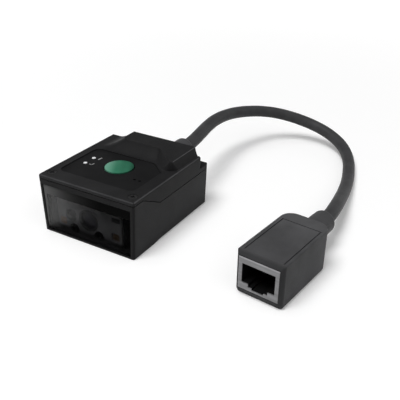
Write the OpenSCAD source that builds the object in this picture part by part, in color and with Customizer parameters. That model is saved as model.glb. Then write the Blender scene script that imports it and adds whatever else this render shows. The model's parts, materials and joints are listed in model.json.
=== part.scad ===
// Fixed barcode reader: a drafted two-shell housing with a full-width scan window at the
// front, a round trigger key and a raised deck on top, an imaging engine behind the window,
// and a short lead that ends in a female modular jack.
// Distances called "from the front" run along +Y from the front bezel.

/* [Housing] */
// Width across the top rim
body_w = 41; // [39:0.5:46]
// Depth from the front bezel to the rear face
body_d = 48.5; // [46.5:0.5:56]
// Height of the top rim
rim_z = 22.3; // [21.8:0.1:25]
// How much each side leans in at the foot
draft = 0.8; // [0.2:0.1:1.2]
// Wall thickness of the lower housing
wall = 1.6; // [1.4:0.1:2]
// Thickness of the front wall that frames the window
front_wall = 2.6; // [2.4:0.1:3]
// Radius of the upright front corners
front_r = 0.7; // [0.5:0.1:2]
// Radius of the upright rear corners
rear_r = 1.2; // [0.8:0.1:3.5]
// Radius of the edge round the top rim
rim_r = 0.7; // [0.4:0.1:1.2]
// Height of the rear underside above the front foot
heel_z = 0.6; // [0.3:0.1:1]
// Length of the front foot
foot_d = 10.5; // [8:0.5:12]

/* [Seam between the shells] */
// Height of the seam along the sides
seam_z = 15.3; // [14.5:0.1:16.5]
// Height of the cover's edge over the front bezel
cover_edge = 1.6; // [1.4:0.1:2.2]
// Where the slanted stretch of the seam starts, from the front
slant_start = 5.5; // [4:0.5:7]
// Where the slanted stretch of the seam ends, from the front
slant_end = 15.6; // [12:0.1:18]
// Width of the open seam
seam_gap = 0.25; // [0.15:0.05:0.4]
// Height of the locating lip inside the seam
lip_h = 1; // [0.6:0.1:1.5]
// Thickness of the locating lip
lip_t = 0.8; // [0.6:0.1:1]
// Clearance round the locating lip
lip_gap = 0.15; // [0.1:0.05:0.25]

/* [Top cover] */
// Thickness of the cover under the label recess
cover_t = 1.4; // [1.2:0.1:1.8]
// Depth of the label recess below the rim
recess_t = 0.6; // [0.4:0.1:0.8]
// Thickness of the label sheet
label_t = 0.3; // [0.2:0.05:0.35]
// Width of the rim in front of the label
label_front = 6.2; // [5.6:0.1:7]
// Width of the rim beside the label on the left
label_left = 3.7; // [2.8:0.1:4]
// Width of the rim beside the label on the right
label_right = 4.9; // [4:0.1:5]
// Height of the raised deck
deck_z = 25.9; // [25:0.1:28]
// Left edge of the deck's flat top
deck_left = -9.7; // [-11:0.1:-8]
// Margin between the deck's flat top and the right side
deck_margin = 2.15; // [1.6:0.05:3]
// Front edge of the deck's flat top, from the front
deck_front = 33.8; // [32:0.1:34.5]
// Run of the sloping left flank of the deck
flank_left = 7.2; // [3:0.1:8]
// Run of the sloping front flank of the deck
flank_front = 5; // [3:0.1:6]
// How far the deck's right end reaches in front of its front edge
nose_d = 8.7; // [6:0.1:10]
// Width of the nose at the deck's front edge
nose_w = 10.1; // [8:0.1:12]
// Depth of the low step behind the cover
step_d = 6.1; // [5.4:0.1:7]
// Height of the low step
step_z = 17.3; // [17:0.1:18.5]

/* [Scan window] */
// Height of the window's lower edge
window_z = 0.9; // [0.8:0.1:1]
// Height of the bezel bar over the window
bezel_top = 2; // [1.6:0.1:3]
// Width of the bezel beside the window
bezel_side = 1.5; // [1.3:0.1:1.7]
// How far the window sits behind the bezel
window_inset = 0.35; // [0.2:0.05:0.4]
// Thickness of the window
window_t = 1.1; // [1:0.05:1.1]
// Thickness of the black mask behind the window
mask_t = 0.1; // [0.05:0.05:0.1]
// Clearance round the window
window_gap = 0.08; // [0.05:0.01:0.12]
// Margin of the mask left of its clear field
field_left = 2.1; // [1.3:0.1:2.4]
// Margin of the mask right of its clear field
field_right = 4.2; // [3:0.1:4.5]
// Height of the lower edge of the clear field
field_bottom = 1.7; // [1.6:0.1:2.2]
// Height of the upper edge of the clear field
field_top = 14.2; // [13:0.1:14.5]

/* [Trigger key] */
// Distance of the key from the front
key_y = 19.7; // [18:0.1:20.5]
// Diameter of the key
key_d = 10.5; // [9:0.1:11]
// How far the key's rim stands above the label
key_proud = 0.25; // [0.1:0.05:0.6]
// Height of the key's crown
key_crown = 0.4; // [0.2:0.1:0.8]
// Travel of the key
key_travel = 0.5; // [0.3:0.1:0.6]
// Clearance round the key
key_gap = 0.3; // [0.2:0.05:0.4]
// Width of the hidden flange that keeps the key in
key_flange = 0.85; // [0.6:0.05:1]

/* [Engine] */
// Distance of the engine's face from the front
engine_y = 2; // [1.9:0.05:2.2]
// Depth of the engine frame
engine_d = 10; // [9:0.5:11]
// Left side of the engine frame
engine_left = -14.6; // [-14.8:0.1:-14.2]
// Right side of the engine frame
engine_right = 13.4; // [12.8:0.1:14]
// Height of the housing floor under the engine
engine_floor = 1.2; // [1.1:0.05:1.25]
// Sideways place of the imaging lens
lens_x = -0.8; // [-1.5:0.1:0]
// Height of the imaging lens
lens_z = 8.4; // [8.2:0.1:8.6]
// Diameter of the imaging lens
lens_d = 6.9; // [6.4:0.1:7.2]
// Wall of the lens barrel
barrel_t = 0.7; // [0.5:0.1:0.8]
// Sideways place of the aiming lens
aimer_x = -8.6; // [-8.9:0.1:-8.4]
// Diameter of the aiming lens
aimer_d = 3.9; // [3.4:0.1:4]
// Sideways place of the left sensor hood
hood_left_x = -7.5; // [-8:0.1:-7]
// Sideways place of the right sensor hood
hood_right_x = 3.6; // [3:0.1:4.4]
// Diameter of the sensor hoods
hood_d = 3.9; // [3.5:0.1:3.9]
// Opening of the sensor hoods
hood_bore = 2.2; // [1.8:0.1:2.4]
// Sideways place of the left light
light_left_x = -12.7; // [-12.8:0.1:-12.4]
// Sideways place of the right light
light_right_x = 10.7; // [10:0.1:11]
// Height of the lights
light_z = 5; // [4.6:0.1:5.4]
// Width of a light
light_w = 3; // [2.6:0.1:3]

/* [Boards] */
// Distance of the main board below the cover
board_drop = 3.4; // [3.4:0.1:3.6]
// Thickness of the boards
board_t = 1; // [0.8:0.1:1]
// Front edge of the main board, from the front
board_y = 8; // [7:0.5:9]
// Room between the engine and the main board
board_room = 1.7; // [1.4:0.1:2]
// Side of the square decoder chip
decoder_w = 9; // [7:0.5:9.5]
// Width of the memory chip
memory_w = 6; // [5:0.5:7]
// Depth of the memory chip
memory_d = 4.5; // [4:0.5:5]
// Width of the flat strip between the boards
flex_w = 9; // [6:0.5:10]
// Diameter of the board screws
board_screw_d = 1.4; // [1.2:0.1:1.6]
// Grip of the board screws above the board
board_screw_grip = 2.5; // [2:0.1:2.8]
// Diameter of the sounder
buzzer_d = 8.4; // [7:0.1:8.6]
// Diameter of the status light pipes
pipe_d = 1.4; // [1.2:0.1:2]

/* [Fasteners] */
// Distance of the front cover screws from the sides
screw_side = 3.1; // [3:0.1:3.3]
// Distance of the front cover screws from the front
screw_front = 3.8; // [3.7:0.1:4]
// Distance of the rear cover screws from the rear
screw_rear = 3; // [2.9:0.1:3.1]
// Diameter of the cover screws
screw_d = 1.8; // [1.6:0.1:2]
// Diameter of the cover screw heads
screw_head_d = 3; // [2.6:0.1:3]
// Height of the cover screw heads
screw_head_h = 0.9; // [0.8:0.1:1]
// Length of the rear cover screws under the head
screw_len = 7; // [6:0.5:9]
// Length of the front cover screws under the head
front_screw_len = 5; // [4:0.5:6]
// Diameter of the screw bosses
boss_d = 3.8; // [3.7:0.1:4]
// Mounting hole spacing across
mount_x = 24; // [20:1:26]
// Mounting hole spacing along
mount_y = 18; // [14:1:19]
// Distance of the first mounting holes from the front
mount_front = 20.5; // [19:0.5:22]
// Thread bore of the mounting inserts
insert_bore = 2.5; // [2:0.1:2.6]
// Outside diameter of the mounting inserts
insert_d = 4.2; // [4:0.1:4.6]
// Length of the mounting inserts
insert_len = 4.2; // [3:0.1:5]

/* [Lead] */
// Diameter of the lead
cord_d = 5.1; // [4:0.1:5.2]
// Sideways place where the lead leaves the cover
lead_x = 10; // [8:0.5:12]
// Height where the lead leaves the cover
lead_z = 21.5; // [21.4:0.05:21.6]
// Diameter of the boot at the cover
boot_d = 8; // [7:0.1:8.2]
// Length of the boot outside the cover
boot_len = 6; // [4:0.5:8]
// Neck of the boot through the cover
neck_d = 6.4; // [5.6:0.1:6.6]

/* [Jack] */
// Width of the jack housing
jack_w = 17; // [17:0.1:19]
// Height of the jack housing
jack_h = 16; // [15:0.1:17]
// Length of the jack housing
jack_len = 30.5; // [27:0.5:34]
// Bevel round the jack housing's front
jack_bevel = 1.4; // [1:0.1:2]
// Radius of the jack housing's rear corners
jack_r = 4; // [2:0.1:5]
// Width of the shield's face
shield_w = 14.4; // [14.4:0.1:15]
// Height of the shield's face
shield_h = 11.5; // [11.2:0.1:11.6]
// Sheet thickness of the shield
shield_t = 0.4; // [0.3:0.05:0.5]
// Depth of the shield behind the face
shield_len = 16; // [14:0.5:20]
// Width of the plug opening
port_w = 11.8; // [11.7:0.1:12]
// Height of the plug opening
port_h = 6.9; // [6.9:0.1:7.2]
// Depth of the plug opening
port_d = 12; // [11:0.5:13]
// Length of the strain relief
relief_len = 12.5; // [6:0.5:14]
// Diameter of the strain relief
relief_d = 9; // [7:0.1:9]

/* [Hidden] */
$fn = 48;
ARC = 6;
FAR = 100;

// Heights that follow from the cover
label_floor = rim_z - recess_t;
label_z = label_floor + label_t;
cover_under = label_floor - cover_t;
board_top = cover_under - board_drop;
board_z = board_top - board_t;
engine_top = board_z - board_room;
front_seam_z = rim_z - cover_edge;
window_top = front_seam_z - bezel_top;
floor_z = heel_z + wall;
ramp_d = 4.8;

// Plan sizes that follow from the housing
inner_hw = body_w / 2 - draft - wall;
inner_rear = body_d - wall;
step_y = body_d - step_d;
deck_right = body_w / 2 - deck_margin;
board_hw = inner_hw - 1;
board_rear = step_y - 3;

// The raised deck's outline on top and at its foot
flank_side = deck_margin - rim_r - 0.05;
nose_flank = 5.2;
nose_foot_x = deck_right - nose_w + 1.2;
deck_top_outline = [
    [deck_left, deck_front],
    [deck_right - nose_w, deck_front],
    [deck_right, deck_front - nose_d],
    [deck_right, step_y],
    [deck_left, step_y]];
deck_foot_outline = [
    [deck_left - flank_left, deck_front - flank_front],
    [nose_foot_x, deck_front - flank_front],
    [deck_right + flank_side, deck_front - nose_d - nose_flank],
    [deck_right + flank_side, step_y],
    [deck_left - flank_left, step_y]];
deck_left_r = min(3, 0.7 * (step_y - deck_front));
nose_r = min(4.5, 0.44 * (deck_right + flank_side - nose_foot_x));
deck_top_r = [deck_left_r, 2.5, 0.8, 0.6, 0.3];
deck_foot_r = [deck_left_r, 2.5, nose_r, 0.6, 0.3];
deck_edge_r = 0.3;
deck_curve = 1.8;
deck_rings = 8;

// The label's outline stops a little short of the deck's foot
label_rear = deck_front - flank_front - 0.2;
label_hi = body_w / 2 - label_right;
label_lo = -body_w / 2 + label_left;
nose_slope = (flank_front - nose_d - nose_flank) / (deck_right + flank_side - nose_foot_x);
label_nose = label_rear + nose_slope * (label_hi - nose_foot_x);
label_r = 2.6;

// Inner places
aimer_t = 0.45;
hood_len = 4.2;
hood_floor = 1;
sensor_deep = 1.2;
aimer_len = 7;
hood_z = engine_floor + hood_d / 2 + 0.1;
pipe_x = -board_hw + 4.4;
pipe_ys = [key_y - 3.5, key_y + 1.4];
pipe_flange = 0.5;
buzzer_at = [board_hw - 5.6, key_y - 5.1];
buzzer_h = 2.7;
buzzer_hole_d = 1;
buzzer_hole_pitch = 2.1;
switch_w = 6;
switch_h = 1.4;
plunger_d = 3.2;
key_rest_gap = 0.2;
key_flange_t = 0.6;
key_spare = 0.2;
key_foot = cover_under - key_rest_gap - key_flange_t;
plunger_top = key_foot - key_travel - key_spare;
led_h = 0.7;
header_size = [8.5, 4.6, 3];
header_wall = 0.6;
header_floor = 1;
post_d = 3.4;
post_x = board_hw - 2.4;
post_behind_key = 6.3;
post_y = key_y + post_behind_key;
post_at = [[-post_x, post_y], [post_x, post_y], [-post_x, board_rear - 3]];
board_screw_head = [2.6, 0.8];
decoder_back = 1.9;
decoder_at = [-9.5, board_rear - decoder_back - decoder_w];
decoder_h = 1;
memory_back = 7.4;
memory_at = [3.4, board_rear - memory_back - memory_d];
memory_h = 0.8;
flex_t = 0.25;
flex_bend = 0.8;
flex_foot = engine_floor + 0.4 * engine_d;
flex_run = 0.7 * engine_d;
fit_gap = 0.05;

// Cover screws, front pair and rear pair
screw_front_x = body_w / 2 - screw_side;
screw_rear_x = inner_hw - boss_d / 2 + 0.2;
screw_rear_y = body_d - screw_rear;
front_seat_z = rim_z - screw_head_h - 1.7;
front_boss_z = engine_top + 0.3;
head_drop = 0.1;
tip_room = 0.5;
pilot_gap = 0.05;
sides = [-1, 1];

// Mounting pads
pad_d = insert_d + 3;
pad_h = insert_len + 1.8;

// The boot's inner lip
boot_lip = 0.35;
boot_lip_t = 1;

// The lead's route, in the part's own frame: the boot's end, then points along the curve
boot_end = [lead_x, step_y + boot_len - body_d / 2, lead_z];
route_points = [
    [9.6, 30, 21.5],
    [8.2, 38.6, 21.5],
    [6.3, 48, 21.2],
    [4.9, 57.5, 20.6],
    [4.8, 66.8, 19.7],
    [6, 75.4, 18.5],
    [8.6, 83.4, 17.1],
    [12.2, 90.2, 15.6],
    [16.8, 95.7, 13.9],
    [22.1, 99.8, 12],
    [27.9, 102.2, 10.2],
    [33.9, 103.1, 8.5],
    [39.4, 102.4, 7.1],
    [44.6, 100.3, 5.8],
    [49.4, 96.8, 4.6],
    [53.8, 91.3, 3.6],
    [57.4, 84.3, 2.8],
    [60.3, 75.9, 2.6],
    [63, 66.2, 2.9],
    [65.3, 55.5, 4.1],
    [67.5, 43.3, 6.2],
    [69.3, 31.8, 8.4],
    [70, 24.1, 9.2]];
relief_end = [69.8, 19.8, 9.3];
jack_yaw = -6.6;
route = concat([boot_end], route_points, [relief_end]);
CORD_SIDES = 10;

// Jack details, in the jack's own frame: front face at y = 0, standing on z = 0
jack_edge_r = [0.6, 0.6, 1.5, 1.5];
shield_margin = 0.35;
shield_z = 2.8;
pocket_gap = 0.1;
panel_left = 1.7;
panel_right = 0.95;
panel_front = 0.6;
panel_rear = 5.4;
groove_w = 0.45;
groove_t = 0.35;
port_z = 5.2;
latch_w = [7, 4.2];
latch_drop = [1.1, 1.75];
latch_d = 10;
contact_count = 8;
contact_pitch = 1.02;
contact_w = 0.45;
contact_t = 0.3;
contact_len = 7.2;
contact_tilt = 17;

// Helpers

// Half the housing's width at a height
function half_w(z) = body_w / 2 - draft * (1 - z / rim_z);

function unit(v) = v / norm(v);

function lerp(a, b, t) = a + (b - a) * t;

// Which way an outline turns at its corner p1: 1 to the left, -1 to the right
function way(p0, p1, p2) = cross(p1 - p0, p2 - p1) < 0 ? -1 : 1;

// Arc that rounds the corner p1 of an outline
function corner_arc(p0, p1, p2, r) =
    let (a = unit(p0 - p1), b = unit(p2 - p1), half = acos(a * b) / 2,
         c = p1 + unit(a + b) * r / sin(half),
         s = p1 + a * r / tan(half) - c, turn = way(p0, p1, p2) * (180 - 2 * half))
    [for (i = [0:ARC]) let (t = turn * i / ARC)
        c + [s[0] * cos(t) - s[1] * sin(t), s[0] * sin(t) + s[1] * cos(t)]];

function rounded(pts, radii) =
    let (n = len(pts))
    [for (i = [0:n - 1]) each corner_arc(pts[(i + n - 1) % n], pts[i], pts[(i + 1) % n], radii[i])];

// Anticlockwise outline drawn in by d on every side
function drawn_in(pts, d) =
    let (n = len(pts))
    [for (i = [0:n - 1])
        let (p0 = pts[(i + n - 1) % n], p2 = pts[(i + 1) % n],
             a = unit(p0 - pts[i]), b = unit(p2 - pts[i]))
        pts[i] + way(p0, pts[i], p2) * unit(a + b) * d / sin(acos(a * b) / 2)];

function lift(pts, z) = [for (p = pts) [p[0], p[1], z]];

// Solid through a stack of rings with equal point counts, each anticlockwise seen from the end.
// Level rings that aren't convex name a hub, the point in plan from which both end faces fan out.
module loft(rings, hub = undef) {
    n = len(rings[0]);
    last = len(rings) - 1;
    low = n * (last + 1);
    fans = is_undef(hub) ? [] : [for (k = [0, last]) [hub[0], hub[1], rings[k][0][2]]];
    walls = [for (k = [0:last - 1], i = [0:n - 1])
        let (a = k * n + i, b = k * n + (i + 1) % n) each [[a, a + n, b + n], [a, b + n, b]]];
    ends = is_undef(hub)
        ? [[for (i = [0:n - 1]) i], [for (i = [n - 1:-1:0]) last * n + i]]
        : [for (i = [0:n - 1]) let (j = (i + 1) % n)
            each [[low, i, j], [low + 1, last * n + j, last * n + i]]];
    polyhedron(concat([for (ring = rings) each ring], fans), concat(walls, ends), convexity = 8);
}

// Places children whose y is measured from the front bezel
module from_front() {
    translate([0, -body_d / 2, 0]) children();
}

// Extrudes a side view, drawn as (y, z), across the width
module across(w) {
    rotate([90, 0, 90]) linear_extrude(w, center = true) children();
}

// Extrudes a front view, drawn as (x, z), from y0 to y1
module backward(y0, y1) {
    translate([0, y1, 0]) rotate([90, 0, 0]) linear_extrude(y1 - y0) children();
}

// Cylinder along +Y
module rod(d, y0, y1) {
    translate([0, y1, 0]) rotate([90, 0, 0]) cylinder(d = d, h = y1 - y0);
}

module box(lo, hi) {
    translate(lo) cube(hi - lo);
}

// Housing shells

// Plan outline of the housing at a height
function body_ring(z, inset) =
    let (hw = half_w(max(z, 0)) - inset, y0 = inset, y1 = body_d - inset)
    lift(rounded([[hw, y1], [-hw, y1], [-hw, y0], [hw, y0]],
        [rear_r, rear_r, front_r, front_r]), z);

// The closed outer form of both shells
module body_form() {
    round_over = [for (i = [0:ARC]) 90 * i / ARC];
    foot_edge = 0.2;
    loft(concat(
        [body_ring(-1, foot_edge), body_ring(0, foot_edge), body_ring(foot_edge, 0)],
        [for (a = round_over) body_ring(rim_z - rim_r + rim_r * sin(a), rim_r * (1 - cos(a)))]));
}

// Side view of all that lies below the seam, raised by rise and held under cap
module below_seam(rise, cap) {
    slope = (seam_z - front_seam_z) / (slant_end - slant_start);
    top = min(front_seam_z + rise, cap);
    start = slant_start + (top - front_seam_z - rise) / slope;
    across(body_w + 4)
        polygon([[-1, -2], [-1, top], [start, top], [slant_end, seam_z + rise],
            [body_d + 1, seam_z + rise], [body_d + 1, -2]]);
}

// Inside of the housing, between the walls
module inner_room(grow, z0, z1) {
    box([-inner_hw - grow, front_wall - grow, z0], [inner_hw + grow, inner_rear + grow, z1]);
}

function window_outline(gap) = [
    [-half_w(window_z) + bezel_side - gap, window_z - gap],
    [half_w(window_z) - bezel_side + gap, window_z - gap],
    [half_w(window_top) - bezel_side + gap, window_top + gap],
    [-half_w(window_top) + bezel_side - gap, window_top + gap]];

module at_front_screws() {
    for (s = sides) translate([s * screw_front_x, screw_front, 0]) children();
}

module at_rear_screws() {
    for (s = sides) translate([s * screw_rear_x, screw_rear_y, 0]) children();
}

module at_mounts() {
    for (s = sides, k = [0, 1])
        translate([s * mount_x / 2, mount_front + k * mount_y, 0]) children();
}

module lower_housing() {
    window_back = window_inset + window_t + mask_t;
    sill = 1.2;
    color("#26272a") from_front() difference() {
        union() {
            difference() {
                intersection() {
                    body_form();
                    below_seam(0, FAR);
                }
                // ground plane and the raised heel
                box([-FAR, -FAR, -FAR], [FAR, FAR, 0]);
                across(body_w + 4)
                    polygon([[foot_d, 0], [foot_d + ramp_d, heel_z], [body_d + 1, heel_z],
                        [body_d + 1, -2], [foot_d, -2]]);
                inner_room(0, floor_z, FAR);
                box([-inner_hw, front_wall, engine_floor], [inner_hw, foot_d + ramp_d - 1, FAR]);
                // window seat, then the smaller opening behind it
                backward(-1, window_back) polygon(window_outline(window_gap));
                box([-inner_hw + sill, -1, engine_floor],
                    [inner_hw - sill, front_wall + 1, window_top - sill]);
            }
            // locating lip inside the seam
            difference() {
                intersection() {
                    inner_room(lip_t, floor_z, FAR);
                    below_seam(lip_h, cover_under - lip_gap);
                    box([-FAR, slant_start, 0], [FAR, FAR, FAR]);
                }
                inner_room(0, 0, FAR);
            }
            at_front_screws() translate([0, 0, front_boss_z])
                cylinder(d = boss_d, h = front_seat_z - lip_gap - front_boss_z);
            at_rear_screws() translate([0, 0, heel_z]) cylinder(d = boss_d, h = seam_z - heel_z);
            at_mounts() cylinder(d = pad_d, h = pad_h);
        }
        at_front_screws() translate([0, 0, front_seat_z - lip_gap])
            cylinder(d = boss_d + 2 * lip_gap, h = FAR);
        at_front_screws() translate([0, 0, rim_z - head_drop - screw_head_h - front_screw_len - tip_room])
            cylinder(d = screw_d + 2 * pilot_gap, h = FAR);
        at_rear_screws() translate([0, 0, step_z - head_drop - screw_head_h - screw_len - tip_room])
            cylinder(d = screw_d + 2 * pilot_gap, h = FAR);
        at_mounts() translate([0, 0, -1])
            cylinder(d = insert_d + 2 * fit_gap, h = insert_len + 1.8);
    }
}

// Outline of the label's place, with a gap all round
function label_outline(gap) =
    rounded(drawn_in([[label_lo, label_front], [label_hi, label_front], [label_hi, label_nose],
        [nose_foot_x, label_rear], [label_lo, label_rear]], gap),
        [label_r, label_r, 0.6, label_r, label_r]);

// Raised deck with hollow-curved flanks and a softened top edge
module deck() {
    foot_z = label_floor - 0.2;
    edge_z = deck_z - deck_edge_r;
    flanks = [for (k = [0:deck_rings]) let (s = k / deck_rings)
        lift(rounded(lerp(deck_foot_outline, deck_top_outline, s), lerp(deck_foot_r, deck_top_r, s)),
            lerp(rim_z, edge_z, pow(s, deck_curve)))];
    edge = [for (a = [30, 60, 90])
        lift(rounded(drawn_in(deck_top_outline, deck_edge_r * (1 - cos(a))), deck_top_r),
            edge_z + deck_edge_r * sin(a))];
    hub = [deck_right - nose_w / 2, (deck_front + step_y) / 2];
    loft(concat([lift(rounded(deck_foot_outline, deck_foot_r), foot_z)], flanks, edge), hub);
}

// Round openings of the cover and the label, made a little wider by grow
module top_openings(grow) {
    translate([0, key_y, 0]) cylinder(d = key_d + 2 * key_gap + grow, h = FAR);
    for (y = pipe_ys) translate([pipe_x, y, 0]) cylinder(d = pipe_d + 2 * fit_gap + grow, h = FAR);
    for (s = sides) translate([buzzer_at[0] + s * buzzer_hole_pitch / 2, buzzer_at[1], 0])
        cylinder(d = buzzer_hole_d + grow, h = FAR);
}

module top_cover() {
    color("#1f2023") from_front() difference() {
        union() {
            difference() {
                body_form();
                below_seam(seam_gap, FAR);
                // label recess, low rear step and the hollow inside
                translate([0, 0, label_floor]) linear_extrude(FAR) polygon(label_outline(0));
                box([-FAR, step_y, step_z], [FAR, FAR, FAR]);
                box([-inner_hw, front_wall, 0], [inner_hw, step_y - wall, cover_under]);
                // pocket for the lip of the lower housing
                intersection() {
                    inner_room(lip_t + lip_gap, 0, FAR);
                    below_seam(lip_h + lip_gap, cover_under);
                    box([-FAR, slant_start, 0], [FAR, FAR, FAR]);
                }
            }
            deck();
            for (p = post_at) translate([p[0], p[1], board_top])
                cylinder(d = post_d, h = label_floor - board_top);
            at_front_screws() translate([0, 0, front_seat_z])
                cylinder(d = boss_d, h = rim_z - front_seat_z - 1);
        }
        // room under the deck for the boot's neck and the wires
        box([deck_left + wall, deck_front + 1, label_floor - cover_t - 1],
            [deck_right - wall, step_y - wall, deck_z - wall]);
        translate([lead_x, 0, lead_z]) {
            rod(neck_d + 2 * fit_gap, step_y - wall - 1, body_d);
            rod(neck_d + 2 * boot_lip + 4 * fit_gap, step_y - wall - boot_lip_t - 1, step_y - wall);
        }
        top_openings(0);
        for (p = post_at) translate([p[0], p[1], board_top - 1])
            cylinder(d = board_screw_d + 2 * pilot_gap, h = board_screw_grip + 1 + tip_room);
        at_front_screws() screw_hole(rim_z);
        at_rear_screws() screw_hole(step_z);
    }
}

// Clearance hole and counterbore for a cover screw whose head lies just below z
module screw_hole(z) {
    cylinder(d = screw_d + 4 * pilot_gap, h = FAR);
    translate([0, 0, z - screw_head_h - head_drop])
        cylinder(d = screw_head_d + 4 * pilot_gap, h = FAR);
}

module label_sheet() {
    color("#141517") from_front() difference() {
        translate([0, 0, label_floor]) linear_extrude(label_t) polygon(label_outline(0.1));
        top_openings(0.1);
    }
}

module scan_window() {
    color("#0a0a0c") from_front()
        backward(window_inset, window_inset + window_t) polygon(window_outline(0));
}

module window_mask() {
    y0 = window_inset + window_t;
    color("#050505") from_front() difference() {
        backward(y0, y0 + mask_t) polygon(window_outline(0));
        box([-body_w / 2 + bezel_side + field_left, 0, field_bottom],
            [body_w / 2 - bezel_side - field_right, FAR, field_top]);
    }
}

// Trigger key and what it works

module trigger_key() {
    r = key_d / 2;
    rim = label_z + key_proud;
    bulge = (r * r + key_crown * key_crown) / (2 * key_crown);
    color("#2f7d5b") from_front() translate([0, key_y, 0]) union() {
        intersection() {
            translate([0, 0, key_foot]) cylinder(r = r, h = rim + key_crown - key_foot);
            translate([0, 0, rim + key_crown - bulge]) sphere(r = bulge, $fn = 96);
        }
        translate([0, 0, key_foot]) cylinder(r = r + key_flange, h = key_flange_t);
    }
}

module key_switch() {
    color("#4a4b4f") from_front() translate([0, key_y, board_top]) union() {
        translate([-switch_w / 2, -switch_w / 2, 0]) cube([switch_w, switch_w, switch_h]);
        cylinder(d = plunger_d, h = plunger_top - board_top);
    }
}

module light_pipes() {
    flange_z = cover_under - 0.6;
    color("#e8eaec") from_front() for (y = pipe_ys) translate([pipe_x, y, 0]) {
        translate([0, 0, board_top + led_h + 0.15])
            cylinder(d = pipe_d, h = label_z - board_top - led_h - 0.1);
        translate([0, 0, flange_z]) cylinder(d = pipe_d + 2 * pipe_flange, h = 0.6);
    }
}

module status_lights() {
    color("#f2f2e6") from_front() for (y = pipe_ys)
        box([pipe_x - 0.8, y - 0.4, board_top], [pipe_x + 0.8, y + 0.4, board_top + led_h]);
}

module buzzer() {
    color("#17181a") from_front() translate([buzzer_at[0], buzzer_at[1], board_top]) difference() {
        cylinder(d = buzzer_d, h = buzzer_h);
        translate([0, 0, buzzer_h - 0.8]) cylinder(d = 1.6, h = 2);
    }
}

// Imaging engine behind the window

hood_xs = [hood_left_x, hood_right_x];
light_xs = [light_left_x, light_right_x];
light_depth = 1.6;
engine_back = engine_y + engine_d;
barrel_d = lens_d + 2 * barrel_t;
aimer_tube_d = aimer_d + 2 * aimer_t;
sensor_size = [6.2, 0.8, 5.2];
ambient_at = [11.2, 12];
ambient_size = [3.4, 1.6];

module engine_frame() {
    pocket = light_w + 0.4;
    color("#232427") from_front() difference() {
        box([engine_left, engine_y, engine_floor], [engine_right, engine_back, engine_top]);
        translate([lens_x, 0, lens_z]) rod(barrel_d + 4 * fit_gap, 0, FAR);
        translate([aimer_x, 0, lens_z]) rod(aimer_tube_d + 4 * fit_gap, 0, FAR);
        for (x = hood_xs) translate([x, 0, hood_z]) rod(hood_d + 4 * fit_gap, 0, engine_y + hood_len);
        for (x = light_xs)
            box([x - pocket / 2, 0, light_z - pocket / 2],
                [x + pocket / 2, engine_y + light_depth, light_z + pocket / 2]);
        translate([ambient_at[0], 0, ambient_at[1]])
            box([-ambient_size[0] / 2 - fit_gap, 0, -ambient_size[1] / 2 - fit_gap],
                [ambient_size[0] / 2 + fit_gap, engine_y + 1, ambient_size[1] / 2 + fit_gap]);
    }
}

module lens_barrel() {
    color("#3a3b3f") from_front() translate([lens_x, 0, lens_z]) difference() {
        rod(barrel_d, engine_y - 0.2, engine_back - sensor_size[1]);
        rod(lens_d, 0, engine_y + 2.6);
        rod(lens_d * 0.62, 0, FAR);
    }
}

// Domed lens, its round face towards the window
module domed_lens(d, y_rim, dome, thick) {
    bulge = (d * d / 4 + dome * dome) / (2 * dome);
    intersection() {
        rod(d, y_rim - dome, y_rim + thick);
        translate([0, y_rim - dome + bulge, 0]) sphere(r = bulge, $fn = 96);
    }
}

module imaging_lens() {
    color("#20242c") from_front() translate([lens_x, 0, lens_z])
        domed_lens(lens_d - 2 * fit_gap, engine_y + 1, 0.7, 1.6);
}

module aimer_barrel() {
    color("#303136") from_front() translate([aimer_x, 0, lens_z]) difference() {
        rod(aimer_tube_d, engine_y - 0.1, engine_y + aimer_len);
        rod(aimer_d, 0, engine_y + 1.8);
    }
}

module aimer_lens() {
    color("#5b4a7a") from_front() translate([aimer_x, 0, lens_z])
        domed_lens(aimer_d - 2 * fit_gap, engine_y + 0.7, 0.4, 1.1);
}

module sensor_hoods() {
    color("#0f0f11") from_front() for (x = hood_xs) translate([x, 0, hood_z]) difference() {
        rod(hood_d, engine_y - 0.3, engine_y + hood_len);
        rod(hood_bore, 0, engine_y + hood_len - hood_floor);
    }
}

module proximity_sensors() {
    color("#2b2230") from_front() for (x = hood_xs) translate([x, 0, hood_z])
        domed_lens(hood_bore - 2 * fit_gap, engine_y + sensor_deep, 0.6,
            hood_len - hood_floor - sensor_deep);
}

module illumination_lights() {
    y1 = engine_y + light_depth;
    color("#e0b060") from_front() for (x = light_xs) translate([x, 0, light_z]) union() {
        box([-light_w / 2, y1 - 1, -light_w / 2], [light_w / 2, y1, light_w / 2]);
        domed_lens(light_w * 0.8, y1 - 0.95, 0.5, 0.2);
    }
}

module ambient_sensor() {
    color("#1a1a1d") from_front() translate([ambient_at[0], 0, ambient_at[1]])
        box([-ambient_size[0] / 2, engine_y - 0.1, -ambient_size[1] / 2],
            [ambient_size[0] / 2, engine_y + 1, ambient_size[1] / 2]);
}

module sensor_board() {
    color("#1d5a38") from_front()
        box([engine_left + 0.3, engine_back, engine_floor + 0.2],
            [engine_right - 0.3, engine_back + board_t, engine_top]);
}

module image_sensor() {
    color("#2a2d33") from_front() translate([lens_x, engine_back, lens_z])
        box([-sensor_size[0] / 2, -sensor_size[1], -sensor_size[2] / 2],
            [sensor_size[0] / 2, 0, sensor_size[2] / 2]);
}

// Main board and its parts

module main_board() {
    color("#1d5a38") from_front() difference() {
        box([-board_hw, board_y, board_z], [board_hw, board_rear, board_top]);
        for (p = post_at) translate([p[0], p[1], 0]) cylinder(d = board_screw_d + 2 * pilot_gap, h = FAR);
    }
}

module board_chips() {
    color("#101012") from_front() {
        translate([decoder_at[0], decoder_at[1], board_top]) cube([decoder_w, decoder_w, decoder_h]);
        translate([memory_at[0], memory_at[1], board_top]) cube([memory_w, memory_d, memory_h]);
    }
}

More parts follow.
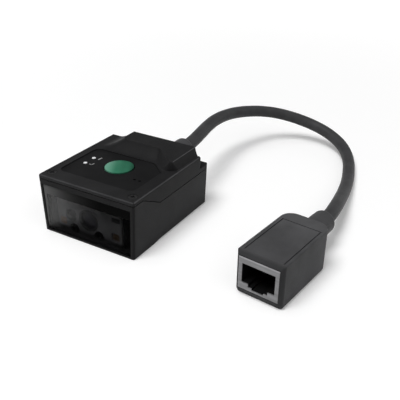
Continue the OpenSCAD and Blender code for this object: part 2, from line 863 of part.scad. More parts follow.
// Flat strip from the back of the sensor board up to the underside of the main board
module board_flex() {
    y0 = engine_back + board_t;
    y1 = y0 + flex_run;
    z1 = board_z;
    bend = flex_bend + flex_t;
    color("#a8661f") from_front() translate([lens_x, 0, 0]) across(flex_w)
        polygon([[y0, flex_foot], [y0 + flex_t, flex_foot], [y0 + flex_t, z1 - bend],
            [y0 + bend, z1 - flex_t], [y1, z1 - flex_t], [y1, z1], [y0 + flex_bend, z1],
            [y0, z1 - flex_bend]]);
}

module lead_header() {
    y1 = board_rear - 0.4;
    y0 = y1 - header_size[1];
    hw = header_size[0] / 2;
    color("#e6e2d6") from_front() difference() {
        box([lead_x - hw, y0, board_top], [lead_x + hw, y1, board_top + header_size[2]]);
        box([lead_x - hw + header_wall, y0 + header_wall, board_top + header_floor],
            [lead_x + hw - header_wall, y1 - header_wall, FAR]);
    }
}

// Fasteners

module board_screws() {
    color("#9a9da1") from_front() for (p = post_at) translate([p[0], p[1], 0]) union() {
        translate([0, 0, board_z - board_screw_head[1]])
            cylinder(d = board_screw_head[0], h = board_screw_head[1]);
        translate([0, 0, board_z - 0.1]) cylinder(d = board_screw_d, h = board_t + board_screw_grip + 0.1);
    }
}

// Cover screw with a cross recess, its head's top at z = 0
module cover_screw(long) {
    slot = [0.66 * screw_head_d, 0.5, 0.5];
    difference() {
        union() {
            translate([0, 0, -screw_head_h]) cylinder(d = screw_head_d, h = screw_head_h);
            translate([0, 0, -screw_head_h - long]) cylinder(d = screw_d, h = long + 0.1);
        }
        for (a = [0, 90]) rotate(a)
            translate([-slot[0] / 2, -slot[1] / 2, -slot[2]]) cube([slot[0], slot[1], 2]);
    }
}

module cover_screws() {
    color("#3c3d40") from_front() {
        at_front_screws() translate([0, 0, rim_z - head_drop]) cover_screw(front_screw_len);
        at_rear_screws() translate([0, 0, step_z - head_drop]) cover_screw(screw_len);
    }
}

module mounting_inserts() {
    color("#c9a24a") from_front() at_mounts() translate([0, 0, 0.05]) difference() {
        cylinder(d = insert_d, h = insert_len);
        translate([0, 0, -1]) cylinder(d = insert_bore, h = insert_len + 2);
    }
}

// Lead and jack

// Boot: round collar outside, neck through the cover's rear wall, flange inside
module cable_boot() {
    r = boot_d / 2;
    soft = 1.2;
    color("#2b2c2f") from_front() translate([lead_x, step_y, lead_z]) rotate([-90, 0, 0])
        rotate_extrude() union() {
            translate([0, -wall - boot_lip_t]) square([neck_d / 2, wall + boot_lip_t + boot_len]);
            translate([0, -wall - boot_lip_t]) square([neck_d / 2 + boot_lip, boot_lip_t - fit_gap]);
            square([r, boot_len - soft]);
            square([r - soft, boot_len]);
            translate([r - soft, boot_len - soft]) circle(r = soft);
        }
}

// Ring round the lead's centre line, square to the direction of travel
function cord_ring(p, dir) =
    let (t = unit(dir), side = unit(cross(t, [0, 0, 1])), up = cross(side, t))
    [for (i = [0:CORD_SIDES - 1]) let (a = -360 * i / CORD_SIDES)
        p + (side * cos(a) + up * sin(a)) * cord_d / 2];

module cable() {
    last = len(route) - 1;
    jack_dir = [-sin(jack_yaw), cos(jack_yaw), 0];
    dirs = [for (i = [0:last]) i == 0 ? [0, 1, 0] : i == last ? -jack_dir : route[i + 1] - route[i - 1]];
    color("#3b3c40") loft([for (i = [0:last]) cord_ring(route[i], dirs[i])]);
}

// Places children drawn in the jack's own frame so that the relief meets the lead's end
module at_jack() {
    translate([relief_end[0], relief_end[1], 0]) rotate(jack_yaw)
        translate([0, -jack_len - relief_len, 0]) children();
}

// Rounded rectangle seen from the front, at a distance behind the jack's face
function jack_ring(y, hw, z0, z1) =
    let (pts = rounded([[hw, z1], [-hw, z1], [-hw, z0], [hw, z0]], jack_edge_r))
    [for (p = pts) [p[0], y, p[1]]];

module jack_housing() {
    hw = jack_w / 2;
    face_hw = shield_w / 2 + shield_margin;
    tail = [for (i = [0:ARC]) 90 * i / ARC];
    lo = [-hw + panel_left, jack_bevel + panel_front];
    hi = [hw - panel_right, jack_len - panel_rear];
    color("#3a3b3f") at_jack() difference() {
        loft(concat(
            [jack_ring(0, face_hw, shield_z - shield_margin, shield_z + shield_h + shield_margin)],
            [jack_ring(jack_bevel, hw, 0, jack_h)],
            [for (a = tail)
                jack_ring(jack_len - jack_r * (1 - sin(a)), hw - jack_r * (1 - cos(a)), 0, jack_h)]));
        shield_block(pocket_gap, shield_len + pocket_gap);
        // groove round three sides of the top panel
        translate([0, 0, jack_h - groove_t]) linear_extrude(1) difference() {
            translate(lo) square(hi - lo);
            translate([lo[0] + groove_w, 0]) square([hi[0] - lo[0] - 2 * groove_w, hi[1] - groove_w]);
        }
    }
}

// Outside of the shield, grown by gap
module shield_block(gap, y1) {
    box([-shield_w / 2 - gap, -1, shield_z - gap], [shield_w / 2 + gap, y1, shield_z + shield_h + gap]);
}

// Plug opening: main cavity with the two steps for the latch
module port(gap) {
    box([-port_w / 2 - gap, -2, port_z - gap], [port_w / 2 + gap, port_d, port_z + port_h + gap]);
    for (k = [0, 1])
        box([-latch_w[k] / 2 - gap, -2, port_z - latch_drop[k] - gap],
            [latch_w[k] / 2 + gap, latch_d, port_z + 1]);
}

module jack_shield() {
    color("#9b9c9e") at_jack() difference() {
        box([-shield_w / 2, 0, shield_z], [shield_w / 2, shield_len, shield_z + shield_h]);
        box([-shield_w / 2 + shield_t, shield_t, shield_z + shield_t],
            [shield_w / 2 - shield_t, FAR, shield_z + shield_h - shield_t]);
        port(0);
    }
}

module jack_insert() {
    gap = shield_t + fit_gap;
    color("#101012") at_jack() difference() {
        box([-shield_w / 2 + gap, gap, shield_z + gap],
            [shield_w / 2 - gap, shield_len, shield_z + shield_h - gap]);
        port(fit_gap);
    }
}

module jack_contacts() {
    first = -(contact_count - 1) / 2 * contact_pitch;
    color("#caa040") at_jack() for (i = [0:contact_count - 1])
        translate([first + i * contact_pitch - contact_w / 2, 1.6, port_z + port_h - contact_t - fit_gap])
            rotate([-contact_tilt, 0, 0]) cube([contact_w, contact_len, contact_t]);
}

// Strain relief behind the jack housing
module jack_relief() {
    r = relief_d / 2;
    tip = r * 0.93;
    soft = 0.9;
    color("#313236") at_jack() translate([0, jack_len, relief_end[2]]) rotate([-90, 0, 0])
        rotate_extrude() polygon(concat([[0, 0], [r, 0]],
            [for (i = [0:ARC]) let (a = 90 * i / ARC)
                [tip - soft * (1 - cos(a)), relief_len - soft * (1 - sin(a))]],
            [[0, relief_len]]));
}

lower_housing();
top_cover();
label_sheet();
scan_window();
window_mask();
trigger_key();
key_switch();
light_pipes();
status_lights();
buzzer();
engine_frame();
lens_barrel();
imaging_lens();
aimer_barrel();
aimer_lens();
sensor_hoods();
proximity_sensors();
illumination_lights();
ambient_sensor();
sensor_board();
image_sensor();
main_board();
board_chips();
board_flex();
lead_header();
board_screws();
cover_screws();
mounting_inserts();
cable_boot();
cable();
jack_housing();
jack_relief();
jack_shield();
jack_insert();
jack_contacts();
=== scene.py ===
"""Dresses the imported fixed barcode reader: camera, lead, studio, finishes and printed marks.

Places on the part are in millimetres and become metres with MM. The lead's length and all lengths of the
studio are in metres.
"""
import json
import math

import bmesh
import bpy
from mathutils import Matrix, Vector


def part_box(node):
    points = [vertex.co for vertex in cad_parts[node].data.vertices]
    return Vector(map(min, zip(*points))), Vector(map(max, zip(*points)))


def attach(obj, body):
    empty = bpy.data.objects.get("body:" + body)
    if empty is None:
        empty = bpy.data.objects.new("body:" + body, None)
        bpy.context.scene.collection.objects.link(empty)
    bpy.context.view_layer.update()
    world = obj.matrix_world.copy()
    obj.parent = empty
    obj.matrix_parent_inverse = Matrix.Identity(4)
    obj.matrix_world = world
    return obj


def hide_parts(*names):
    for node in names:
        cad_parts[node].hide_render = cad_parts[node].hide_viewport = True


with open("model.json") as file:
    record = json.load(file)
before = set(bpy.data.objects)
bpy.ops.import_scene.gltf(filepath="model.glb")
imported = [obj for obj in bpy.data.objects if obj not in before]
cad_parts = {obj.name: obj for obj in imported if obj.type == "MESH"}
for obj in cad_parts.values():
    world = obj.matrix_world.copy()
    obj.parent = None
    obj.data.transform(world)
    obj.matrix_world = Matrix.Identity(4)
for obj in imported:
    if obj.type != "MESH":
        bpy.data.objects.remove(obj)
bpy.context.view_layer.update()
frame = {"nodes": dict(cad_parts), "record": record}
nodes = frame["nodes"]

MM = 0.001
X_AXIS, Y_AXIS, Z_AXIS = (1, 0, 0), (0, 1, 0), (0, 0, 1)

# Camera

YAW, PITCH, ROLL = (math.radians(angle) for angle in (30.1, 28.62, -0.84))
CAMERA_AT = Vector((126.957, -165.563, 119.854)) * MM
SENSOR_W = 36.0
FOCAL_LENGTH = 56.508
CLIP_START = 0.01


def camera_axes(yaw, pitch, roll):
    """Right, up and backward axes of a camera that looks along +Y turned by yaw and down by pitch."""
    forward = Vector((-math.sin(yaw) * math.cos(pitch), math.cos(yaw) * math.cos(pitch), -math.sin(pitch)))
    right = Vector((math.cos(yaw), math.sin(yaw), 0))
    down = forward.cross(right)
    rolled_right = right * math.cos(roll) + down * math.sin(roll)
    rolled_down = down * math.cos(roll) - right * math.sin(roll)
    return rolled_right, -rolled_down, -forward


def add_camera():
    data = bpy.data.cameras.new("camera")
    data.sensor_width = SENSOR_W
    data.lens = FOCAL_LENGTH
    data.clip_start = CLIP_START
    camera = bpy.data.objects.new("camera", data)
    turn = Matrix(camera_axes(YAW, PITCH, ROLL)).transposed().to_4x4()
    camera.matrix_world = Matrix.Translation(CAMERA_AT) @ turn
    bpy.context.collection.objects.link(camera)
    bpy.context.scene.camera = camera


add_camera()

# Lead, along the same points as its solid

LEAD_D = 5.1 * MM
END_HANDLE = 1.5 * MM
JACK_YAW = math.radians(-6.6)
JACK_AXIS = (-math.sin(JACK_YAW), math.cos(JACK_YAW), 0)
BOOT_END = (10, 24.15, 21.5)
RELIEF_END = (69.8, 19.8, 9.3)
ROUTE = [
    BOOT_END, (9.6, 30, 21.5), (8.2, 38.6, 21.5), (6.3, 48, 21.2), (4.9, 57.5, 20.6), (4.8, 66.8, 19.7),
    (6, 75.4, 18.5), (8.6, 83.4, 17.1), (12.2, 90.2, 15.6), (16.8, 95.7, 13.9), (22.1, 99.8, 12),
    (27.9, 102.2, 10.2), (33.9, 103.1, 8.5), (39.4, 102.4, 7.1), (44.6, 100.3, 5.8), (49.4, 96.8, 4.6),
    (53.8, 91.3, 3.6), (57.4, 84.3, 2.8), (60.3, 75.9, 2.6), (63, 66.2, 2.9), (65.3, 55.5, 4.1),
    (67.5, 43.3, 6.2), (69.3, 31.8, 8.4), (70, 24.1, 9.2), RELIEF_END]


def add_lead():
    """Smooth tube along the route, square to the boot and to the strain relief at its ends.

    Its thickness is in the points' radii, which the bevel depth of 1 leaves as they are.
    """
    curve = bpy.data.curves.new("lead", "CURVE")
    curve.dimensions = "3D"
    curve.bevel_depth = 1.0
    curve.bevel_resolution = 8
    curve.resolution_u = 10
    spline = curve.splines.new("BEZIER")
    spline.bezier_points.add(len(ROUTE) - 1)
    for point, place in zip(spline.bezier_points, ROUTE):
        point.co = Vector(place) * MM
        point.radius = LEAD_D / 2
        point.handle_left_type = point.handle_right_type = "AUTO"
    ends = [(spline.bezier_points[0], Vector(Y_AXIS)), (spline.bezier_points[-1], -Vector(JACK_AXIS))]
    for point, along in ends:
        point.handle_left_type = point.handle_right_type = "FREE"
        point.handle_left = point.co - along * END_HANDLE
        point.handle_right = point.co + along * END_HANDLE
    lead = bpy.data.objects.new("lead", curve)
    bpy.context.collection.objects.link(lead)
    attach(lead, "reader")
    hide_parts("cable")
    return lead


lead = add_lead()

# Nodes


def add_node(tree, kind, **values):
    """Node of one kind; each value goes to the input of that name, or else to the property."""
    node = tree.nodes.new(kind)
    for name, value in values.items():
        if name in node.inputs:
            node.inputs[name].default_value = value
        else:
            setattr(node, name, value)
    return node


def add_map(tree, value, source, target, interpolation="SMOOTHSTEP"):
    """Maps a value from the source range to the target range, and holds it there."""
    node = add_node(tree, "ShaderNodeMapRange", interpolation_type=interpolation)
    for name, number in zip(("From Min", "From Max", "To Min", "To Max"), (*source, *target)):
        node.inputs[name].default_value = number
    tree.links.new(value, node.inputs["Value"])
    return node.outputs["Result"]


def add_math(tree, operation, first, second):
    node = add_node(tree, "ShaderNodeMath", operation=operation)
    tree.links.new(first, node.inputs[0])
    tree.links.new(second, node.inputs[1])
    return node.outputs[0]


def add_scaled(tree, colour, factor):
    node = add_node(tree, "ShaderNodeVectorMath", operation="SCALE")
    tree.links.new(colour, node.inputs[0])
    tree.links.new(factor, node.inputs["Scale"])
    return node.outputs[0]


def add_dot(tree, source, direction):
    """Dot product of a direction and the part's own coordinates or normal."""
    coords = add_node(tree, "ShaderNodeTexCoord")
    dot = add_node(tree, "ShaderNodeVectorMath", operation="DOT_PRODUCT")
    dot.inputs[1].default_value = direction
    tree.links.new(coords.outputs[source], dot.inputs[0])
    return dot.outputs["Value"]


def add_slope(tree, along, span, ends=(0, 1)):
    """Smooth step from one value to another between two places, in mm, along one direction of the part."""
    return add_map(tree, add_dot(tree, "Object", along), [place * MM for place in span], ends)


def add_noise(tree, scale, detail, stretch):
    """Noise in the part's own coordinates; scale is in features per metre."""
    coords = add_node(tree, "ShaderNodeTexCoord")
    mapping = add_node(tree, "ShaderNodeMapping", Scale=stretch)
    noise = add_node(tree, "ShaderNodeTexNoise", Scale=scale, Detail=detail)
    tree.links.new(coords.outputs["Object"], mapping.inputs["Vector"])
    tree.links.new(mapping.outputs["Vector"], noise.inputs["Vector"])
    return noise.outputs["Fac"]


def add_ramp(tree, factor, places, colours):
    """Goes from one colour to another between two places of the factor."""
    ramp = add_node(tree, "ShaderNodeValToRGB")
    for element, place, colour in zip(ramp.color_ramp.elements, places, colours):
        element.position = place
        element.color = colour
    tree.links.new(factor, ramp.inputs["Fac"])
    return ramp.outputs["Color"]


# Studio

WORLD_LEVEL = 0.09
# Height of the view direction at which the white horizon starts to fade, and at which it has faded
HORIZON_FADE = (0.06, 0.3)
FLOOR_HALF = 20.0
FLOOR_DROP = 0.02 * MM
FLOOR_ALBEDO = 0.85
# The floor's glow beside the part, and the distances between which it rises to white
FLOOR_GLOW = 0.2
GLOW_RISE = (0.03, 1.1)
LAMP_AIM = Vector((0.02, 0.03, 0))
# Place, width and power of each lamp
LAMPS = {
    "key": ((-0.1, -0.52, 1.17), 0.6, 11.5),
    "fill": ((0.75, -0.35, 0.9), 1.0, 2.0),
    "top": ((-0.25, 0.0, 1.25), 1.0, 3.0),
    "rim": ((0.62, 1.0, 0.58), 0.7, 1.0),
}


def add_seen(tree):
    """1 for the rays that show the background: camera, glossy and transmission rays."""
    path = add_node(tree, "ShaderNodeLightPath")
    level = path.outputs["Is Camera Ray"]
    for name in ("Is Glossy Ray", "Is Transmission Ray"):
        level = add_math(tree, "MAXIMUM", level, path.outputs[name])
    return level


def add_world():
    """Dim even light, with a white horizon for the rays that show the background."""
    world = bpy.data.worlds.new("studio")
    bpy.context.scene.world = world
    world.use_nodes = True
    sky = world.node_tree
    background = sky.nodes["Background"]
    background.inputs["Color"].default_value = (1, 1, 1, 1)
    coords = add_node(sky, "ShaderNodeTexCoord")
    split = add_node(sky, "ShaderNodeSeparateXYZ")
    shown = add_node(sky, "ShaderNodeMix", A=WORLD_LEVEL)
    sky.links.new(coords.outputs["Generated"], split.inputs["Vector"])
    sky.links.new(add_seen(sky), shown.inputs["Factor"])
    sky.links.new(add_map(sky, split.outputs["Z"], HORIZON_FADE, (1, WORLD_LEVEL)), shown.inputs["B"])
    sky.links.new(shown.outputs["Result"], background.inputs["Strength"])


def add_floor():
    """Pale floor that takes shadows and turns white away from the part."""
    mesh = bpy.data.meshes.new("floor")
    corners = ((-1, -1), (1, -1), (1, 1), (-1, 1))
    mesh.from_pydata([(x * FLOOR_HALF, y * FLOOR_HALF, -FLOOR_DROP) for x, y in corners], [], [(0, 1, 2, 3)])
    floor = bpy.data.objects.new("floor", mesh)
    bpy.context.collection.objects.link(floor)
    material = bpy.data.materials.new("floor")
    material.use_nodes = True
    tree = material.node_tree
    tree.nodes.clear()
    link = tree.links.new
    out = add_node(tree, "ShaderNodeOutputMaterial")
    diffuse = add_node(tree, "ShaderNodeBsdfDiffuse", Color=(FLOOR_ALBEDO, FLOOR_ALBEDO, FLOOR_ALBEDO, 1))
    glow = add_node(tree, "ShaderNodeEmission")
    both = add_node(tree, "ShaderNodeAddShader")
    coords = add_node(tree, "ShaderNodeTexCoord")
    away = add_node(tree, "ShaderNodeVectorMath", operation="LENGTH")
    link(coords.outputs["Object"], away.inputs[0])
    level = add_map(tree, away.outputs["Value"], GLOW_RISE, (FLOOR_GLOW, 1))
    link(add_math(tree, "MULTIPLY", add_seen(tree), level), glow.inputs["Strength"])
    link(diffuse.outputs[0], both.inputs[0])
    link(glow.outputs[0], both.inputs[1])
    link(both.outputs[0], out.inputs["Surface"])
    mesh.materials.append(material)


def add_lamp(name, place, width, power):
    """Round lamp at place that looks at the middle of the part."""
    data = bpy.data.lights.new(name, "AREA")
    data.shape = "DISK"
    data.size = width
    data.energy = power
    lamp = bpy.data.objects.new(name, data)
    turn = (LAMP_AIM - Vector(place)).to_track_quat("-Z", "Y").to_matrix().to_4x4()
    lamp.matrix_world = Matrix.Translation(place) @ turn
    bpy.context.collection.objects.link(lamp)


add_world()
add_floor()
for lamp_name, lamp_facts in LAMPS.items():
    add_lamp(lamp_name, *lamp_facts)
bpy.context.scene.view_settings.view_transform = "Standard"

# Finishes

GREY_BLUE = 1.04
PATCH_DETAIL, PATCH_PLACES = 4.0, (0.35, 0.65)
GRAIN_DETAIL, GRAIN_SPREAD = 2.0, (0.3, 0.7)
ROUGH_VARY = 0.05
BUMP_STRENGTH = 0.5


def grey(level):
    """Grey with a touch of blue."""
    return (level, level, level * GREY_BLUE)


def shade(colour, factor):
    return tuple(min(1.0, c * factor) for c in colour) + (1.0,)


def shader_of(material):
    return material.node_tree.nodes["Principled BSDF"]


def add_finish(name, colour, rough, specular=0.3, metal=0.0, vary=0.12, patch=120, grain=2600, depth=0.02,
               edge=0.15, stretch=(1, 1, 1)):
    """Material with patchy colour, uneven gloss, a fine grain and slightly rounded edges.

    Patch and grain are in features per metre, and the depth of the grain and the edges' radius in mm.
    A finish without a colour gets it later.
    """
    material = bpy.data.materials.new(name)
    material.use_nodes = True
    tree = material.node_tree
    shader = shader_of(material)
    shader.inputs["Metallic"].default_value = metal
    shader.inputs["Specular IOR Level"].default_value = specular
    if colour:
        patches = add_noise(tree, patch, PATCH_DETAIL, stretch)
        shades = (shade(colour, 1 - vary), shade(colour, 1 + vary))
        tree.links.new(add_ramp(tree, patches, PATCH_PLACES, shades), shader.inputs["Base Color"])
    grains = add_noise(tree, grain, GRAIN_DETAIL, stretch)
    gloss = add_map(tree, grains, GRAIN_SPREAD, (rough - ROUGH_VARY, rough + ROUGH_VARY), "LINEAR")
    tree.links.new(gloss, shader.inputs["Roughness"])
    bump = add_node(tree, "ShaderNodeBump", Strength=BUMP_STRENGTH, Distance=depth * MM)
    tree.links.new(grains, bump.inputs["Height"])
    if edge:
        bevel = add_node(tree, "ShaderNodeBevel", samples=4, Radius=edge * MM)
        tree.links.new(bevel.outputs["Normal"], bump.inputs["Normal"])
    tree.links.new(bump.outputs["Normal"], shader.inputs["Normal"])
    return material


LOOKS = {
    "housing_plastic": dict(colour=grey(0.017), rough=0.5, specular=0.1),
    "cover_plastic": dict(colour=grey(0.0145), rough=0.5, specular=0.08),
    "label_film": dict(colour=grey(0.011), rough=0.5, specular=0.05, grain=3500, depth=0.004),
    "window_acrylic": dict(colour=None, rough=0.12, specular=0.02, depth=0.001, edge=0),
    "mask_film": dict(colour=grey(0.002), rough=0.6, specular=0.03, depth=0.004),
    "key_rubber": dict(colour=(0.03, 0.17, 0.097), rough=0.45, specular=0.25, vary=0.08, depth=0.006),
    "switch_plastic": dict(colour=grey(0.07), rough=0.5),
    "pipe_plastic": dict(colour=(0.85, 0.86, 0.87), rough=0.3, specular=0.4, vary=0.03, depth=0.003),
    "light_resin": dict(colour=(0.2, 0.115, 0.052), rough=0.3, specular=0.5, vary=0.2, depth=0.004),
    "engine_plastic": dict(colour=grey(0.34), rough=0.55),
    "barrel_metal": dict(colour=grey(0.09), rough=0.4, specular=0.5, metal=0.4),
    "lens_glass": dict(colour=(0.1, 0.095, 0.125), rough=0.12, specular=0.6, depth=0.001, edge=0),
    "sensor_resin": dict(colour=(0.016, 0.013, 0.018), rough=0.3, specular=0.5),
    "board_laminate": dict(colour=(0.012, 0.09, 0.04), rough=0.4, specular=0.4),
    "flex_film": dict(colour=(0.38, 0.135, 0.015), rough=0.35, specular=0.4),
    "header_plastic": dict(colour=(0.78, 0.75, 0.66), rough=0.5, vary=0.04),
    "screw_steel": dict(colour=(0.55, 0.56, 0.58), rough=0.35, specular=0.5, metal=1.0),
    "screw_black": dict(colour=grey(0.02), rough=0.38, specular=0.5, metal=0.3),
    "insert_brass": dict(colour=(0.6, 0.41, 0.12), rough=0.3, specular=0.5, metal=1.0),
    "boot_rubber": dict(colour=grey(0.058), rough=0.55, specular=0.15),
    "cable_jacket": dict(colour=grey(0.048), rough=0.5, specular=0.1, patch=200, edge=0),
    "jack_plastic": dict(colour=grey(0.06), rough=0.6, specular=0.1),
    "shield_metal": dict(colour=(0.22, 0.22, 0.225), rough=0.45, specular=0.5, metal=0.85, stretch=(1, 1, 8)),
    "insert_plastic": dict(colour=grey(0.005), rough=0.5, specular=0.08),
    "contact_gold": dict(colour=(0.64, 0.42, 0.11), rough=0.3, specular=0.5, metal=1.0),
    "print": dict(colour=(0.3, 0.3, 0.3), rough=0.5, specular=0.2, vary=0.2, patch=900, edge=0),
}
FINISHES = {name: add_finish(name, **look) for name, look in LOOKS.items()}

# Window: a painted grey reflection that thins out to the right and downwards, over a mask with a clear field

PAINTED_REFLECTION_COLOURS = ((0.0015, 0.0015, 0.0016, 1), (0.15, 0.15, 0.15, 1))
REFLECTION_WIDTH = (-20, 7)
REFLECTION_UP, REFLECTION_RISE = (-0.35, 0, 0.94), (7, 11)
CLEAR_LEFT, CLEAR_TOP = (-17.9, -17.6), (14.9, 15.3)
CLEAR_EDGE = (0.3, 0.7)
# Strength of the painted reflection over the mask, weaker towards the right
MASK_WIDTH, MASK_REFLECTION = (-26, -4), (0.95, 0.26)
CLEAR_ALPHA, FOOT_ALPHA = 0.5, 0.9
FOOT_HEIGHTS = (2.5, 4.5)


def paint_window_reflection(material):
    """Paints a grey reflection into the window's colour, and makes it see-through over the clear field and
    less so near its foot.
    """
    tree = material.node_tree
    shader = shader_of(material)
    share = add_math(tree, "MULTIPLY", add_slope(tree, X_AXIS, REFLECTION_WIDTH, (1, 0)),
                     add_slope(tree, REFLECTION_UP, REFLECTION_RISE))
    reflection_colour = add_ramp(tree, share, (0, 1), PAINTED_REFLECTION_COLOURS)
    clear = add_math(tree, "MULTIPLY", add_slope(tree, X_AXIS, CLEAR_LEFT),
                     add_slope(tree, Z_AXIS, CLEAR_TOP, (1, 0)))
    strength = add_math(tree, "MAXIMUM", clear, add_slope(tree, X_AXIS, MASK_WIDTH, MASK_REFLECTION))
    tree.links.new(add_scaled(tree, reflection_colour, strength), shader.inputs["Base Color"])
    alpha = add_math(tree, "MAXIMUM", add_map(tree, clear, CLEAR_EDGE, (1, CLEAR_ALPHA), "LINEAR"),
                     add_slope(tree, Z_AXIS, FOOT_HEIGHTS, (FOOT_ALPHA, CLEAR_ALPHA)))
    tree.links.new(alpha, shader.inputs["Alpha"])


paint_window_reflection(FINISHES["window_acrylic"])

# Key: a painted highlight that makes the silicone paler towards its left rim

KEY_AXIS = (0.865, 0.5, 0)
KEY_PAINTED_HIGHLIGHT = (0.12, 0.31, 0.22, 1)
KEY_HIGHLIGHT_SPAN = (-7.0, -2.8)
# Colour sockets of a Mix node, which share their names with those for numbers
MIX_A, MIX_B, MIX_RESULT = 6, 7, 2


# Mixes the painted highlight into the key's colour towards its left rim
def paint_key_highlight(material):
    tree = material.node_tree
    colour = shader_of(material).inputs["Base Color"]
    key_highlight_mix = add_node(tree, "ShaderNodeMix", data_type="RGBA")
    key_highlight_mix.inputs[MIX_B].default_value = KEY_PAINTED_HIGHLIGHT
    tree.links.new(add_slope(tree, KEY_AXIS, KEY_HIGHLIGHT_SPAN, (1, 0)), key_highlight_mix.inputs["Factor"])
    tree.links.new(colour.links[0].from_socket, key_highlight_mix.inputs[MIX_A])
    tree.links.new(key_highlight_mix.outputs[MIX_RESULT], colour)


paint_key_highlight(FINISHES["key_rubber"])

# Painted light and shade as lighter and darker fields: finish, direction, places along it in mm, and the
# colour's scale at each

PAINTED_LIGHT_FIELDS = [
    # Painted shade on the front face round the window
    ("housing_plastic", Y_AXIS, (-24, -22), (0.45, 1.0)),
    # Cover, painted lighter towards the front left
    ("cover_plastic", (-0.6, -0.8, 0), (0, 28), (1.0, 1.35)),
    # Key, painted shade in two steps towards its right rim
    ("key_rubber", KEY_AXIS, (-2.8, -0.6), (1.0, 0.78)),
    ("key_rubber", KEY_AXIS, (0.8, 3.0), (1.0, 0.45)),
    # Behind the window: painted light on the left light, and a darker aiming lens
    ("light_resin", X_AXIS, (-12, 10), (2.6, 1.0)),
    ("lens_glass", X_AXIS, (-6, -4), (0.55, 1.0)),
    # Jack, painted lighter at its rear, with painted shade on the bevel round the mouth
    ("jack_plastic", JACK_AXIS, (0, 14), (1.0, 1.35)),
    ("jack_plastic", JACK_AXIS, (-14.6, -13.4), (0.52, 1.0)),
    # Painted highlight on the upper edge of the shield
    ("shield_metal", Z_AXIS, (13.7, 14.1), (1.0, 1.9)),
]

# Painted highlights on the cover's rounded edges: the way they face, their lowest and highest place in mm,
# and the gain

DIAGONAL = math.sqrt(0.5)
RIM_HEIGHTS, DECK_HEIGHTS = (21.5, 22.35), (25.5, 26)
PAINTED_EDGE_HIGHLIGHTS = [
    ((DIAGONAL, 0, DIAGONAL), RIM_HEIGHTS, 3.0),
    ((0, -DIAGONAL, DIAGONAL), RIM_HEIGHTS, 1.5),
    ((DIAGONAL, 0, DIAGONAL), DECK_HEIGHTS, 5.0),
]
HIGHLIGHT_FACING = (0.86, 0.99)
HIGHLIGHT_SOFT = 0.1


def scale_colour(material, factor):
    tree = material.node_tree
    colour = shader_of(material).inputs["Base Color"]
    tree.links.new(add_scaled(tree, colour.links[0].from_socket, factor), colour)


# Paints a highlight onto the rounded edges that face one way between two heights, in mm
def add_edge_highlight(material, facing, heights, gain):
    tree = material.node_tree
    share = add_map(tree, add_dot(tree, "Normal", facing), HIGHLIGHT_FACING, (0, 1))
    for height, ends in zip(heights, ((0, 1), (1, 0))):
        limit = add_slope(tree, Z_AXIS, (height - HIGHLIGHT_SOFT, height + HIGHLIGHT_SOFT), ends)
        share = add_math(tree, "MULTIPLY", share, limit)
    scale_colour(material, add_map(tree, share, (0, 1), (1, 1 + gain), "LINEAR"))


# Scales each finish's colour by its painted light and shade
for finish, *slope in PAINTED_LIGHT_FIELDS:
    scale_colour(FINISHES[finish], add_slope(FINISHES[finish].node_tree, *slope))
for highlight_row in PAINTED_EDGE_HIGHLIGHTS:
    add_edge_highlight(FINISHES["cover_plastic"], *highlight_row)

# Dressing of the pieces

WELD_DISTANCE = 0.001 * MM
FLAT_ANGLE = math.radians(0.5)
SHARP_ANGLE = math.radians(32)


def add_group(name, make):
    """Geometry nodes group of one chain; make adds its nodes and returns the last one's output."""
    group = bpy.data.node_groups.new(name, "GeometryNodeTree")
    group.interface.new_socket("Geometry", in_out="INPUT", socket_type="NodeSocketGeometry")
    group.interface.new_socket("Geometry", in_out="OUTPUT", socket_type="NodeSocketGeometry")
    start = add_node(group, "NodeGroupInput")
    end = add_node(group, "NodeGroupOutput")
    group.links.new(make(group, start.outputs[0]), end.inputs[0])
    return group


def weld(group, geometry):
    """Joins facet corners and drops the stored normals."""
    merge = add_node(group, "GeometryNodeMergeByDistance", Distance=WELD_DISTANCE)
    drop = add_node(group, "GeometryNodeRemoveAttribute", Name="custom_normal")
    group.links.new(geometry, merge.inputs["Geometry"])
    group.links.new(merge.outputs[0], drop.inputs["Geometry"])
    return drop.outputs[0]


def soften(group, geometry):
    """Shades everything smooth except across sharp edges."""
    faces = add_node(group, "GeometryNodeSetShadeSmooth", domain="FACE")
    faces.inputs["Shade Smooth"].default_value = True
    edges = add_node(group, "GeometryNodeSetShadeSmooth", domain="EDGE")
    edges.inputs["Shade Smooth"].default_value = False
    angle = add_node(group, "GeometryNodeInputMeshEdgeAngle")
    sharp = add_node(group, "FunctionNodeCompare", operation="GREATER_THAN")
    sharp.inputs[1].default_value = SHARP_ANGLE
    group.links.new(geometry, faces.inputs["Geometry"])
    group.links.new(faces.outputs[0], edges.inputs["Geometry"])
    group.links.new(angle.outputs["Unsigned Angle"], sharp.inputs[0])
    group.links.new(sharp.outputs[0], edges.inputs["Selection"])
    return edges.outputs[0]


WELD = add_group("weld", weld)
SOFTEN = add_group("soften", soften)


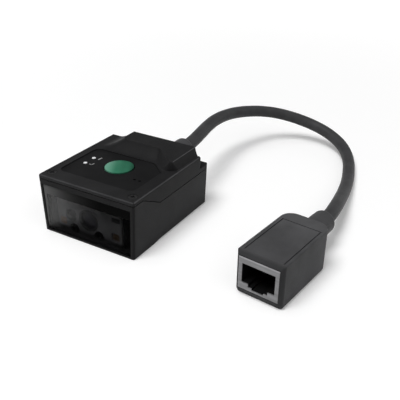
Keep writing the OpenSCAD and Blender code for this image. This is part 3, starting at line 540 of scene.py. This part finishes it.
def smooth(piece):
    """Joins the facets of a solid's flat faces and shades its round ones smooth."""
    piece.modifiers.new("weld", "NODES").node_group = WELD
    flat = piece.modifiers.new("flat", "DECIMATE")
    flat.decimate_type = "DISSOLVE"
    flat.angle_limit = FLAT_ANGLE
    piece.modifiers.new("soften", "NODES").node_group = SOFTEN
    piece.modifiers.new("weighted", "WEIGHTED_NORMAL").keep_sharp = True


def dress(piece, material):
    if piece.material_slots:
        for slot in piece.material_slots:
            slot.material = material
    else:
        piece.data.materials.append(material)


for entry in frame["record"]["subparts"]:
    dress(nodes[entry["node"]], FINISHES[entry["material_slot"]])
    smooth(nodes[entry["node"]])
dress(lead, FINISHES["cable_jacket"])

# Printed marks beside the status lights: each bar's start, end and width in mm

LABEL_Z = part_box("label_sheet")[1][2]
PRINT_T = 0.02 * MM
ARC_STEPS = 8
MARKS = {
    "mark_power": [((-10.35, -3.3), (-10.17, -1.75), 0.5)],
    "mark_read": [((-10.75, -8.05), (-9.75, -8.25), 0.42), ((-9.75, -8.25), (-9.55, -7.0), 0.42)],
}


def add_bar(mesh, start, end, width):
    """Flat bar with round ends, standing on the label."""
    a, b = Vector(start), Vector(end)
    along = math.atan2(b.y - a.y, b.x - a.x)
    outline = []
    for centre, turn in ((b, along - math.pi / 2), (a, along + math.pi / 2)):
        for i in range(ARC_STEPS + 1):
            t = turn + math.pi * i / ARC_STEPS
            outline.append((centre.x + width / 2 * math.cos(t), centre.y + width / 2 * math.sin(t)))
    low = [mesh.verts.new((x * MM, y * MM, LABEL_Z)) for x, y in outline]
    high = [mesh.verts.new((x * MM, y * MM, LABEL_Z + PRINT_T)) for x, y in outline]
    mesh.faces.new(high)
    mesh.faces.new(low[::-1])
    n = len(outline)
    for i in range(n):
        mesh.faces.new((low[i], low[(i + 1) % n], high[(i + 1) % n], high[i]))


def add_mark(name, bars):
    mesh = bmesh.new()
    for bar in bars:
        add_bar(mesh, *bar)
    data = bpy.data.meshes.new(name)
    mesh.to_mesh(data)
    mesh.free()
    mark = bpy.data.objects.new(name, data)
    bpy.context.collection.objects.link(mark)
    dress(mark, FINISHES["print"])
    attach(mark, "reader")


for mark_name, mark_bars in MARKS.items():
    add_mark(mark_name, mark_bars)

bpy.context.view_layer.update()
